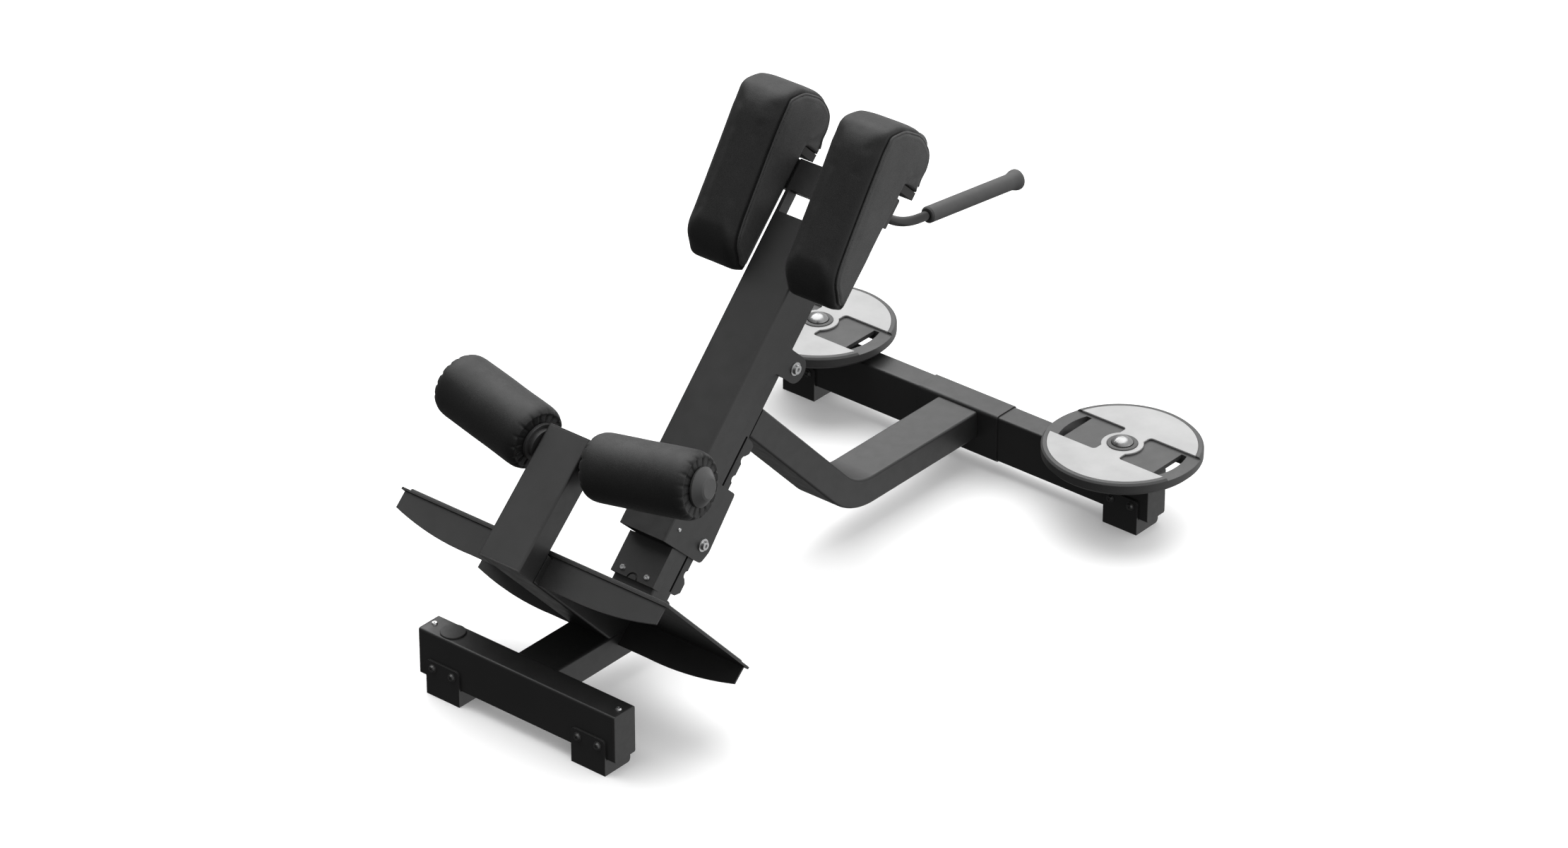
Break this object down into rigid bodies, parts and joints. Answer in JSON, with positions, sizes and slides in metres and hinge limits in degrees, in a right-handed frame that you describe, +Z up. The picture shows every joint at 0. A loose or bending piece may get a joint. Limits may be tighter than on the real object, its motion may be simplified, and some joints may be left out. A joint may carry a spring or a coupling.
{
  "type": "roman chair",
  "caption": "45 degree back-extension bench: footplate with ankle rollers, hip pads with handles on a latched sliding carriage, wide rear foot carrying round plates",
  "frame": {"origin": "middle of the overall box, on the floor", "axes": "+X from the foot end towards the plate end, +Y to the left, +Z up"},
  "size_m": [1.5406, 1.094, 0.9777],
  "materials": {
    "frame_black": "satin powder coat",
    "plate_iron": "satin dark grey paint",
    "plate_face_grey": "satin light grey moulding",
    "polished_steel": "polished",
    "dark_bolt": "black oxide",
    "bright_screw": "zinc plated",
    "black_vinyl": "satin grained vinyl",
    "pad_board_black": "black stained plywood",
    "black_plastic": "fine textured",
    "roller_hub_plastic": "smooth satin",
    "grip_rubber": "matte",
    "mat_rubber": "matte",
    "guide_nylon": "smooth",
    "handle_black": "gloss black"
  },
  "bodies": {
    "base": {"button_screws": "bright_screw", "deck_flange_heel": "frame_black", "deck_flange_toe": "frame_black", "deck_mat": "mat_rubber", "deck_plate": "frame_black", "foot_arm": "frame_black", "front_end_cap_left": "black_plastic", "front_end_cap_right": "black_plastic", "front_foot_bolts": "dark_bolt", "front_foot_left": "frame_black", "front_foot_right": "frame_black", "front_stabiliser": "frame_black", "post": "frame_black", "post_cover": "black_plastic", "rack": "frame_black", "rear_end_cap_left": "black_plastic", "rear_end_cap_right": "black_plastic", "rear_foot_bolts": "dark_bolt", "rear_foot_left": "frame_black", "rear_foot_right": "frame_black", "rear_sleeve": "frame_black", "rear_stabiliser": "frame_black", "roller_axles": "dark_bolt", "roller_post": "frame_black", "roller_post_caps": "frame_black", "spigot_left": "polished_steel", "spigot_right": "polished_steel", "spine": "frame_black", "strut": "frame_black", "top_disc": "black_plastic", "tube_plugs": "black_plastic"},
    "carriage": {"carriage_channel": "frame_black", "cross_bar": "frame_black", "cross_bar_caps": "black_plastic", "guide_blocks": "guide_nylon", "guide_axle": "bright_screw", "latch_pivots": "bright_screw", "side_screws": "bright_screw", "pad_board_left": "pad_board_black", "pad_board_right": "pad_board_black", "pad_left": "black_vinyl", "pad_right": "black_vinyl", "handle_left": "handle_black", "handle_right": "handle_black", "grip_left": "grip_rubber", "grip_right": "grip_rubber"},
    "guide_roller": {"guide_roller": "guide_nylon"},
    "latch": {"latch": "frame_black"},
    "left_roller": {"ankle_roller_left": "black_vinyl", "roller_core_left": "roller_hub_plastic", "roller_cap_left": "roller_hub_plastic"},
    "right_roller": {"ankle_roller_right": "black_vinyl", "roller_core_right": "roller_hub_plastic", "roller_cap_right": "roller_hub_plastic"},
    "left_plate": {"weight_plate_left": "plate_iron", "plate_ring_left": "plate_iron", "plate_face_left": "plate_face_grey"},
    "right_plate": {"weight_plate_right": "plate_iron", "plate_ring_right": "plate_iron", "plate_face_right": "plate_face_grey"}
  },
  "joints": [
    {"name": "carriage_slide", "type": "slide", "parent": "base", "child": "carriage", "axis": [0.6892, 0, 0.7246], "range_m": [-0.0405, 0.2025]},
    {"name": "guide_roller_spin", "type": "hinge", "parent": "carriage", "child": "guide_roller", "pos_m": [0.00762, 0, 0.47781], "axis": [0, 1, 0], "range_deg": [-470, 100]},
    {"name": "latch_pivot", "type": "hinge", "parent": "carriage", "child": "latch", "pos_m": [-0.26468, 0, 0.21416], "axis": [0, 1, 0], "range_deg": [-5, 19]},
    {"name": "left_roller_spin", "type": "hinge", "parent": "base", "child": "left_roller", "pos_m": [-0.58615, 0, 0.52399], "axis": [0.1303, 0.984, 0.1215], "continuous": true},
    {"name": "right_roller_spin", "type": "hinge", "parent": "base", "child": "right_roller", "pos_m": [-0.58615, 0, 0.52399], "axis": [0.1303, -0.984, 0.1215], "continuous": true},
    {"name": "left_plate_lift", "type": "slide", "parent": "base", "child": "left_plate", "axis": [0, 0, 1], "range_m": [0, 0.08]},
    {"name": "right_plate_lift", "type": "slide", "parent": "base", "child": "right_plate", "axis": [0, 0, 1], "range_m": [0, 0.08]}
  ],
  "couplings": [
    {"joint": "guide_roller_spin", "follows": "carriage_slide", "rad_per_m": -39.37}
  ]
}
